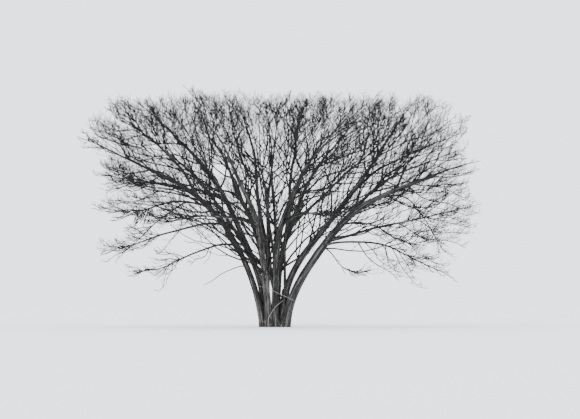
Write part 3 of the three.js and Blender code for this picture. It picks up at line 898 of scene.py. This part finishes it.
def evened(groups, wood, draw):
    """Each limb's shoots, thinned where a square of the crown's face has too many metres of them."""
    face = np.zeros(FACE_SQUARES)
    for shoots in groups.values():
        np.add.at(face, squares(shoots), (shoots.length / len(FACE_SHARES))[:, None])
    thinned = {}
    for (limb, kind), shoots in groups.items():
        middle = shoots.point(0.5)
        low = np.interp(middle[:, 2], SPARSE_FROM, SPARSE)
        inside = np.interp(middle[:, 2], CENTRE_FROM, CENTRE_FULL)
        allowed = wood * np.where(np.abs(middle[:, 0]) < CENTRE_WIDE, inside, low)
        kept = np.clip(allowed / face[squares(shoots)].mean(1), FEWEST, 1)
        thinned[limb, kind] = shoots.chosen(chance(limb.index, draw, *shoots.keys.T) < kept)
    return thinned


def bars(shoots, law):
    """Pointed round bars along the shoots: their corners and their triangles."""
    sides, rings = law["sides"], law["rings"]
    turn = np.arange(sides) * 2 * np.pi / sides
    loops = []
    for ring in range(rings):
        share = ring / rings
        forward = shoots.forward(share)
        side = unit(shoots.side - along(shoots.side, forward) * forward)
        other = np.cross(forward, side)
        reach = (shoots.thick(share) * (COLLAR_OF_TWIGS if ring == 0 else 1))[:, None, None]
        spoke = np.cos(turn)[:, None] * side[:, None] + np.sin(turn)[:, None] * other[:, None]
        loops.append(shoots.point(share)[:, None] + reach * spoke)
    loops.append(shoots.point(1.0)[:, None])
    places = np.concatenate(loops, 1)
    first = np.arange(sides)
    following = (first + 1) % sides
    faces = [np.stack([np.zeros(sides - 2, int), first[2:], first[1:-1]], -1)]
    for low in range(0, (rings - 1) * sides, sides):
        faces.append(np.stack([low + first, low + following, low + sides + following], -1))
        faces.append(np.stack([low + first, low + sides + following, low + sides + first], -1))
    top = (rings - 1) * sides
    faces.append(np.stack([top + first, top + following, np.full(sides, rings * sides)], -1))
    faces = np.concatenate(faces)
    offset = np.arange(len(shoots)) * places.shape[1]
    return places.reshape(-1, 3), (faces[None] + offset[:, None, None]).reshape(-1, 3)


def joined(name, parts):
    """One mesh from several sets of corners and triangles. Returns its object."""
    places = np.concatenate([part[0] for part in parts])
    offsets = np.cumsum([0] + [len(part[0]) for part in parts[:-1]])
    faces = np.concatenate([part[1] + offset for part, offset in zip(parts, offsets)])
    mesh = bpy.data.meshes.new(name)
    mesh.vertices.add(len(places))
    mesh.vertices.foreach_set("co", places.astype(np.float32).ravel())
    mesh.loops.add(faces.size)
    mesh.loops.foreach_set("vertex_index", faces.astype(np.int32).ravel())
    mesh.polygons.add(len(faces))
    mesh.polygons.foreach_set("loop_start", np.arange(0, faces.size, 3, dtype=np.int32))
    mesh.update(calc_edges=True)
    made = bpy.data.objects.new(name, mesh)
    bpy.context.scene.collection.objects.link(made)
    return made


def mass_of(name, forks, twigs, index):
    """One joined piece of forks and twigs, with the twiglets and spurs that stand on them."""
    twiglets = lit(fitted(shoots_on(twigs, TWIGLET, index), index, inner=True), TWIGLET, index)
    spurs = lit(shoots_on(twiglets, SPUR, index), SPUR, index)
    tips = spurs.point(1)
    spurs = spurs.chosen((spurs.length > SHORTEST) & (tips[:, 2] > LOWEST_TWIG) & (depth_in_crown(tips) > 0))
    return joined(name, [bars(forks, FORK), bars(twigs, TWIG), bars(twiglets, TWIGLET), bars(spurs, SPUR)])


def paint_twigs():
    finish = WoodFinish("thin_twig_bark")
    place = finish.place()
    patches = finish.noise(place, scale=9, detail=5)
    specks = finish.noise(place, scale=240, detail=2)
    colour = finish.coloured(patches * 0.6 + specks * 0.4, between=(0.3, 0.7), shades=TWIG_SHADES)
    bump = finish.bump(specks, strength=0.4, distance=0.001)
    roughness = 0.9 - patches * 0.15
    return finish.surface(Base_Color=colour, Roughness=roughness, Normal=bump, Specular_IOR_Level=BARK_SHINE)


TWIG_BARK = paint_twigs()
SCENE_ONLY = {row["name"] for row in CENTRE_SHOOTS}
twiggy = [limb for limb in Limb.every if limb.bare < 1]
forks = {(limb, FINE): outer_forks(limb) for limb in twiggy}
forks.update({(limb, INNER): inner_forks(limb) for limb in twiggy})
forks = evened(forks, FORK_WOOD, FORK_WOOD_DRAW)
twigs = {(limb, kind): twigs_on(limb, kind, shoots) for (limb, kind), shoots in forks.items()}
twigs = evened(twigs, TWIG_WOOD, TWIG_WOOD_DRAW)
for (limb, kind), carriers in forks.items():
    if not len(carriers):
        continue
    mass = mass_of(limb.name + kind, carriers, twigs[limb, kind], limb.index)
    if kind == FINE and limb.name not in SCENE_ONLY:
        finished(mass, TWIG_BARK, "twigs", limb.name + "_twigs")
    else:
        finished(mass, TWIG_BARK, "twigs")

# The dried pods: a small clump of dead seed pods that still hang under a left bough, each on its own thin
# stalk. They are dry, dark brown and about as thick as a finger, and all swing a little to one side.
POD_BOUGH = "left_side_bough"
POD_COUNT = 44
POD_SPAN = (0.5, 0.66)
POD_DRAW = 70
SHORTEST_STALK = 0.02
STALK = dict(length=0.19, spread=0.3, radius=0.0025, tip=0.0025, swing=-0.2, sideways=0.8,
             length_draw=71, draw=72, sides=4, rings=2)
POD = dict(length=0.075, spread=0.03, radius=0.009, tip=0.0055, swing=-0.5, sideways=0.3,
           length_draw=76, draw=77, sides=7, rings=3)
POD_SHADES = ((0.016, 0.013, 0.011), (0.06, 0.05, 0.042))


def hanging(start, law, shortest, index):
    """Bars that hang from points, each with its own length and slant."""
    swing_draw, across_draw, *crook_draws = range(law["draw"], law["draw"] + 4)
    place = np.arange(len(start))
    slant = [around(law["swing"], law["sideways"], index, swing_draw, place),
             around(0, law["sideways"], index, across_draw, place), -np.ones(len(place))]
    down = unit(np.stack(slant, -1))
    side = unit(np.cross(down, RIGHT))
    length = np.maximum(around(law["length"], law["spread"], index, law["length_draw"], place), shortest)
    crook = [chance(index, draw, place) for draw in crook_draws]
    return Shoots(
        start=start, sets_off=down, turns_to=down, length=length,
        radius=np.full(len(place), law["radius"]), tip=np.full(len(place), law["tip"]),
        side=side, other=np.cross(side, down), keys=place[:, None], phase=np.stack(crook, -1))


def paint_pods():
    finish = WoodFinish("dried_pod_husk")
    patches = finish.noise(finish.place(), scale=60, detail=4)
    colour = finish.coloured(patches, between=(0.35, 0.65), shades=POD_SHADES)
    bump = finish.bump(patches, strength=0.5, distance=0.002)
    roughness = 0.9 - patches * 0.1
    return finish.surface(Base_Color=colour, Roughness=roughness, Normal=bump, Specular_IOR_Level=BARK_SHINE)


pod_bough = Limb.named(POD_BOUGH)
pod_chances = chance(pod_bough.index, POD_DRAW, np.arange(POD_COUNT))
pod_shares = POD_SPAN[0] + (POD_SPAN[1] - POD_SPAN[0]) * pod_chances
stalks = hanging(pod_bough.point(pod_shares), STALK, SHORTEST_STALK, pod_bough.index)
pods = hanging(stalks.point(1.0), POD, 0, pod_bough.index)
clump = joined("dried_pods", [bars(stalks, STALK), bars(pods, POD)])
finished(clump, paint_pods(), "twigs")

# The knob: a round burl of bark and callus wood, grown over an old wound on the right inner stem near its
# foot. It bulges out on the side towards the view, and its relief is in metres.
KNOB_STEM = "right_inner_stem"
KNOB_AT = 0.12
KNOB_SIZE = (0.07, 0.06, 0.12)
KNOB_SIDE = np.array([-0.3, -0.95, 0])
KNOB_RELIEF = [("CLOUDS", 0.04, 0.02), ("CLOUDS", 0.012, 0.006)]

only()
bpy.ops.mesh.primitive_uv_sphere_add(segments=48, ring_count=32, radius=1)
knob = bpy.context.object
knob.name = "knob_of_callus"
knob.data.name = "knob_of_callus"
knob.scale = KNOB_SIZE
grooved(settled(), KNOB_RELIEF)
remember_grain(knob.data, corners(knob.data))
carrier = Limb.named(KNOB_STEM)
stand = carrier.point(KNOB_AT) + carrier.thick(KNOB_AT) * KNOB_SIDE
move_corners(knob.data, corners(knob.data) + stand)
finished(knob, DARK_BARK, "bark")

# The dead shoots: two thin, barkless shoots, bleached pale, that lean across the foot of the clump. One
# stands in the ground and one slants down from the left outer stem.
DEAD_SIDES = 12
DEAD_SHADES = ((0.1, 0.096, 0.09), (0.26, 0.25, 0.235))
DEAD_SHOOTS = [
    dict(name="dead_basal_shoot", foot=(-0.15, -0.27), heading=-4,
         lean=(-6, 14, 34, 46, 50), length=0.7, stout=0.01, bare=1),
    dict(name="dead_crossing_shoot", on="left_outer_stem", at=0.15, heading=-34,
         lean=(96, 104, 112, 112, 108), length=1.1, stout=0.006, bare=1),
]


def paint_dead_wood():
    finish = WoodFinish("bleached_dead_wood")
    streaks = finish.noise(finish.drawn_out(finish.grain(), lengthwise=0.08), scale=220, detail=4)
    colour = finish.coloured(streaks, between=(0.35, 0.65), shades=DEAD_SHADES)
    bump = finish.bump(streaks, strength=0.5, distance=0.002)
    roughness = 0.95 - streaks * 0.15
    return finish.surface(Base_Color=colour, Roughness=roughness, Normal=bump, Specular_IOR_Level=BARK_SHINE)


DEAD_WOOD = paint_dead_wood()
for row in DEAD_SHOOTS:
    shoot = Limb(**row)
    log = limb_log(shoot, DEAD_SIDES, BOUGH_RING, 0, np.ones_like)
    if not shoot.carrier:
        cut_at_ground(log)
    finished(log, DEAD_WOOD, "grey_bark")
